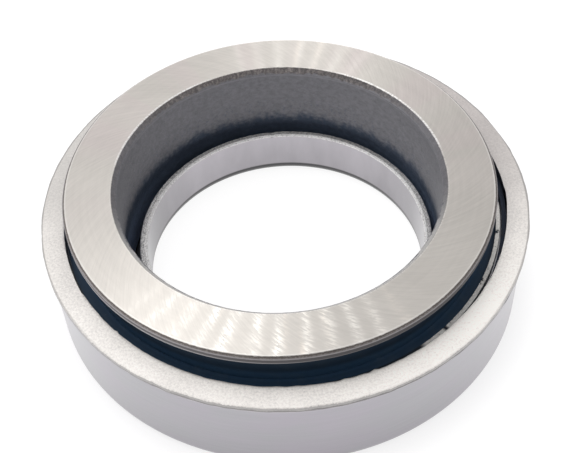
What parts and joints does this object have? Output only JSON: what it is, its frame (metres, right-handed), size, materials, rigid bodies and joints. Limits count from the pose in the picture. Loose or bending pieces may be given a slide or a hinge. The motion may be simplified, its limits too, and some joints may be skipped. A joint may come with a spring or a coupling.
{
  "type": "clutch release bearing",
  "caption": "Self-centring clutch release bearing: pressed steel casing with inner collar, floating angular-contact ball bearing, rubber seal and a ground flat face ring that turns.",
  "frame": {"origin": "centre of the casing's seat face, on the axis of the collar", "axes": "+Z along the collar's axis towards the working face; +X is the direction of the modelled float, to the right in the picture; the picture looks from -Y and above"},
  "size_m": [0.0936, 0.0936, 0.0263],
  "materials": {
    "casing_sheet": "satin pressed sheet",
    "ring_steel": "ground face, dark bore",
    "race_steel": "ground",
    "cage_sheet": "pressed sheet",
    "seal_sheet": "sheared sheet",
    "seal_rubber": "matt",
    "spring_steel": "blued",
    "shield_sheet": "pressed sheet",
    "ball_steel": "polished"
  },
  "bodies": {
    "casing_shell": {"casing": "casing_sheet"},
    "floating_race": {"outer_race": "race_steel", "seal_case": "seal_sheet", "seal_lip": "seal_rubber", "wave_spring": "spring_steel", "grease_shield": "shield_sheet"},
    "turning_face": {"face_ring": "ring_steel"},
    "ball_carrier": {"ball_cage": "cage_sheet"},
    "rolling_ball_01": {"ball_01": "ball_steel"},
    "rolling_ball_02": {"ball_02": "ball_steel"},
    "rolling_ball_03": {"ball_03": "ball_steel"},
    "rolling_ball_04": {"ball_04": "ball_steel"},
    "rolling_ball_05": {"ball_05": "ball_steel"},
    "rolling_ball_06": {"ball_06": "ball_steel"},
    "rolling_ball_07": {"ball_07": "ball_steel"},
    "rolling_ball_08": {"ball_08": "ball_steel"},
    "rolling_ball_09": {"ball_09": "ball_steel"},
    "rolling_ball_10": {"ball_10": "ball_steel"},
    "rolling_ball_11": {"ball_11": "ball_steel"},
    "rolling_ball_12": {"ball_12": "ball_steel"},
    "rolling_ball_13": {"ball_13": "ball_steel"},
    "rolling_ball_14": {"ball_14": "ball_steel"},
    "rolling_ball_15": {"ball_15": "ball_steel"},
    "rolling_ball_16": {"ball_16": "ball_steel"},
    "rolling_ball_17": {"ball_17": "ball_steel"},
    "rolling_ball_18": {"ball_18": "ball_steel"},
    "rolling_ball_19": {"ball_19": "ball_steel"},
    "rolling_ball_20": {"ball_20": "ball_steel"}
  },
  "joints": [
    {"name": "float_slide", "type": "slide", "parent": "casing_shell", "child": "floating_race", "axis": [1, 0, 0], "range_m": [-0.00022, 0.00168]},
    {"name": "face_spin", "type": "hinge", "parent": "floating_race", "child": "turning_face", "pos_m": [-0.00073, 0, 0.00959], "axis": [0, 0, 1], "continuous": true},
    {"name": "cage_spin", "type": "hinge", "parent": "floating_race", "child": "ball_carrier", "pos_m": [-0.00073, 0, 0.00959], "axis": [0, 0, 1], "continuous": true},
    {"name": "ball_01_roll", "type": "hinge", "parent": "ball_carrier", "child": "rolling_ball_01", "pos_m": [0.03676, 0, 0.00959], "axis": [0.5, 0, 0.866], "continuous": true},
    {"name": "ball_02_roll", "type": "hinge", "parent": "ball_carrier", "child": "rolling_ball_02", "pos_m": [0.03493, 0.01159, 0.00959], "axis": [0.4755, 0.1545, 0.866], "continuous": true},
    {"name": "ball_03_roll", "type": "hinge", "parent": "ball_carrier", "child": "rolling_ball_03", "pos_m": [0.0296, 0.02204, 0.00959], "axis": [0.4045, 0.2939, 0.866], "continuous": true},
    {"name": "ball_04_roll", "type": "hinge", "parent": "ball_carrier", "child": "rolling_ball_04", "pos_m": [0.02131, 0.03033, 0.00959], "axis": [0.2939, 0.4045, 0.866], "continuous": true},
    {"name": "ball_05_roll", "type": "hinge", "parent": "ball_carrier", "child": "rolling_ball_05", "pos_m": [0.01086, 0.03566, 0.00959], "axis": [0.1545, 0.4755, 0.866], "continuous": true},
    {"name": "ball_06_roll", "type": "hinge", "parent": "ball_carrier", "child": "rolling_ball_06", "pos_m": [-0.00073, 0.03749, 0.00959], "axis": [0, 0.5, 0.866], "continuous": true},
    {"name": "ball_07_roll", "type": "hinge", "parent": "ball_carrier", "child": "rolling_ball_07", "pos_m": [-0.01232, 0.03566, 0.00959], "axis": [-0.1545, 0.4755, 0.866], "continuous": true},
    {"name": "ball_08_roll", "type": "hinge", "parent": "ball_carrier", "child": "rolling_ball_08", "pos_m": [-0.02277, 0.03033, 0.00959], "axis": [-0.2939, 0.4045, 0.866], "continuous": true},
    {"name": "ball_09_roll", "type": "hinge", "parent": "ball_carrier", "child": "rolling_ball_09", "pos_m": [-0.03106, 0.02204, 0.00959], "axis": [-0.4045, 0.2939, 0.866], "continuous": true},
    {"name": "ball_10_roll", "type": "hinge", "parent": "ball_carrier", "child": "rolling_ball_10", "pos_m": [-0.03639, 0.01159, 0.00959], "axis": [-0.4755, 0.1545, 0.866], "continuous": true},
    {"name": "ball_11_roll", "type": "hinge", "parent": "ball_carrier", "child": "rolling_ball_11", "pos_m": [-0.03822, 0, 0.00959], "axis": [-0.5, 0, 0.866], "continuous": true},
    {"name": "ball_12_roll", "type": "hinge", "parent": "ball_carrier", "child": "rolling_ball_12", "pos_m": [-0.03639, -0.01159, 0.00959], "axis": [-0.4755, -0.1545, 0.866], "continuous": true},
    {"name": "ball_13_roll", "type": "hinge", "parent": "ball_carrier", "child": "rolling_ball_13", "pos_m": [-0.03106, -0.02204, 0.00959], "axis": [-0.4045, -0.2939, 0.866], "continuous": true},
    {"name": "ball_14_roll", "type": "hinge", "parent": "ball_carrier", "child": "rolling_ball_14", "pos_m": [-0.02277, -0.03033, 0.00959], "axis": [-0.2939, -0.4045, 0.866], "continuous": true},
    {"name": "ball_15_roll", "type": "hinge", "parent": "ball_carrier", "child": "rolling_ball_15", "pos_m": [-0.01232, -0.03566, 0.00959], "axis": [-0.1545, -0.4755, 0.866], "continuous": true},
    {"name": "ball_16_roll", "type": "hinge", "parent": "ball_carrier", "child": "rolling_ball_16", "pos_m": [-0.00073, -0.03749, 0.00959], "axis": [0, -0.5, 0.866], "continuous": true},
    {"name": "ball_17_roll", "type": "hinge", "parent": "ball_carrier", "child": "rolling_ball_17", "pos_m": [0.01086, -0.03566, 0.00959], "axis": [0.1545, -0.4755, 0.866], "continuous": true},
    {"name": "ball_18_roll", "type": "hinge", "parent": "ball_carrier", "child": "rolling_ball_18", "pos_m": [0.02131, -0.03033, 0.00959], "axis": [0.2939, -0.4045, 0.866], "continuous": true},
    {"name": "ball_19_roll", "type": "hinge", "parent": "ball_carrier", "child": "rolling_ball_19", "pos_m": [0.0296, -0.02204, 0.00959], "axis": [0.4045, -0.2939, 0.866], "continuous": true},
    {"name": "ball_20_roll", "type": "hinge", "parent": "ball_carrier", "child": "rolling_ball_20", "pos_m": [0.03493, -0.01159, 0.00959], "axis": [0.4755, -0.1545, 0.866], "continuous": true}
  ],
  "couplings": [
    {"joint": "cage_spin", "follows": "face_spin", "ratio": 0.45416},
    {"joint": "ball_01_roll", "follows": "face_spin", "ratio": -4.6834},
    {"joint": "ball_02_roll", "follows": "face_spin", "ratio": -4.6834},
    {"joint": "ball_03_roll", "follows": "face_spin", "ratio": -4.6834},
    {"joint": "ball_04_roll", "follows": "face_spin", "ratio": -4.6834},
    {"joint": "ball_05_roll", "follows": "face_spin", "ratio": -4.6834},
    {"joint": "ball_06_roll", "follows": "face_spin", "ratio": -4.6834},
    {"joint": "ball_07_roll", "follows": "face_spin", "ratio": -4.6834},
    {"joint": "ball_08_roll", "follows": "face_spin", "ratio": -4.6834},
    {"joint": "ball_09_roll", "follows": "face_spin", "ratio": -4.6834},
    {"joint": "ball_10_roll", "follows": "face_spin", "ratio": -4.6834},
    {"joint": "ball_11_roll", "follows": "face_spin", "ratio": -4.6834},
    {"joint": "ball_12_roll", "follows": "face_spin", "ratio": -4.6834},
    {"joint": "ball_13_roll", "follows": "face_spin", "ratio": -4.6834},
    {"joint": "ball_14_roll", "follows": "face_spin", "ratio": -4.6834},
    {"joint": "ball_15_roll", "follows": "face_spin", "ratio": -4.6834},
    {"joint": "ball_16_roll", "follows": "face_spin", "ratio": -4.6834},
    {"joint": "ball_17_roll", "follows": "face_spin", "ratio": -4.6834},
    {"joint": "ball_18_roll", "follows": "face_spin", "ratio": -4.6834},
    {"joint": "ball_19_roll", "follows": "face_spin", "ratio": -4.6834},
    {"joint": "ball_20_roll", "follows": "face_spin", "ratio": -4.6834}
  ]
}
